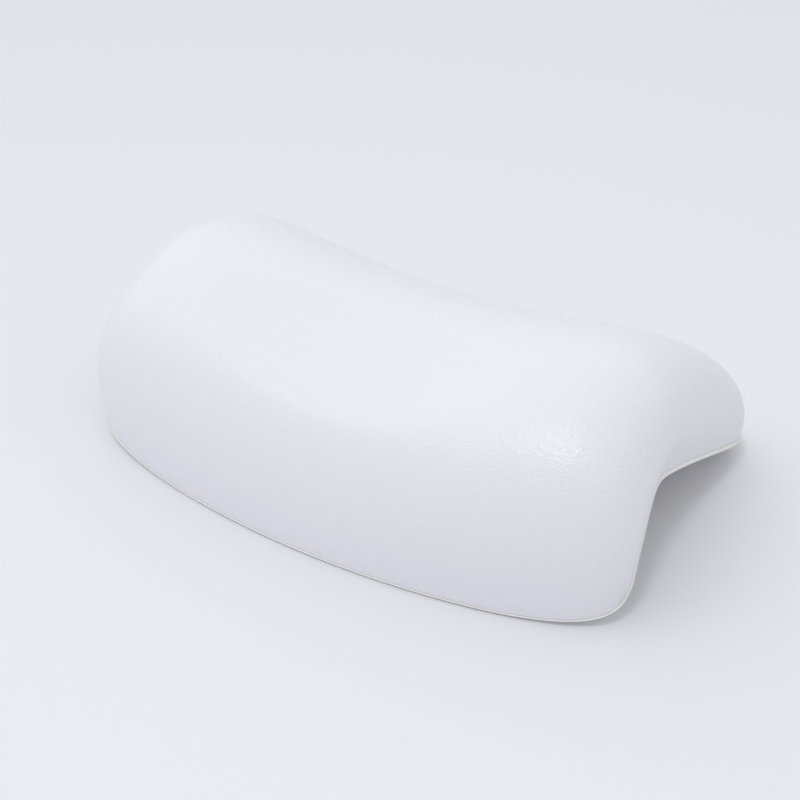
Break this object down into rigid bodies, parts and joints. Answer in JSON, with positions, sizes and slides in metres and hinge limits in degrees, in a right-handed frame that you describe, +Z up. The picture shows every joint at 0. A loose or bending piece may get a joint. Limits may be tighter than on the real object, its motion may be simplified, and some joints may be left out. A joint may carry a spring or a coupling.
{
  "type": "bath pillow",
  "caption": "Moulded bath pillow with an L-shaped section that hangs over a tub's rim, a dished soft top in fine-grained white skin, and swivelling suction cups on its underside.",
  "frame": {"origin": "On the table, under the middle of the pillow's bounding box.", "axes": "X runs along the pillow, Y from the leg that hangs inside the tub to the flange that lies on its rim, and Z up from the table it lies on."},
  "size_m": [0.2986, 0.1996, 0.0984],
  "materials": {
    "skin": "fine-grained satin polyurethane skin",
    "sheet": "smooth matte polyurethane sheet",
    "foam": "open soft foam",
    "plate": "moulded, matte",
    "socket": "moulded, satin",
    "cup": "smooth soft vinyl"
  },
  "bodies": {
    "pillow": {"cover_skin": "skin", "underside_skin": "sheet", "foam_core": "foam", "stiffener_plate": "plate", "cup_socket_1": "socket", "cup_socket_2": "socket", "cup_socket_3": "socket", "cup_socket_4": "socket"},
    "leg_cup_left": {"suction_cup_1": "cup"},
    "leg_cup_right": {"suction_cup_2": "cup"},
    "flange_cup_left": {"suction_cup_3": "cup"},
    "flange_cup_right": {"suction_cup_4": "cup"}
  },
  "joints": [
    {"name": "leg_cup_left_swivel", "type": "hinge", "parent": "pillow", "child": "leg_cup_left", "pos_m": [-0.07, -0.0602, 0.02725], "axis": [0.0729, 0.6515, -0.7551], "continuous": true},
    {"name": "leg_cup_right_swivel", "type": "hinge", "parent": "pillow", "child": "leg_cup_right", "pos_m": [0.07, -0.0602, 0.02725], "axis": [-0.0729, 0.6515, -0.7551], "continuous": true},
    {"name": "flange_cup_left_swivel", "type": "hinge", "parent": "pillow", "child": "flange_cup_left", "pos_m": [-0.07, 0.02982, 0.02729], "axis": [-0.0114, -0.373, -0.9278], "continuous": true},
    {"name": "flange_cup_right_swivel", "type": "hinge", "parent": "pillow", "child": "flange_cup_right", "pos_m": [0.07, 0.02982, 0.02729], "axis": [0.0114, -0.373, -0.9278], "continuous": true}
  ]
}
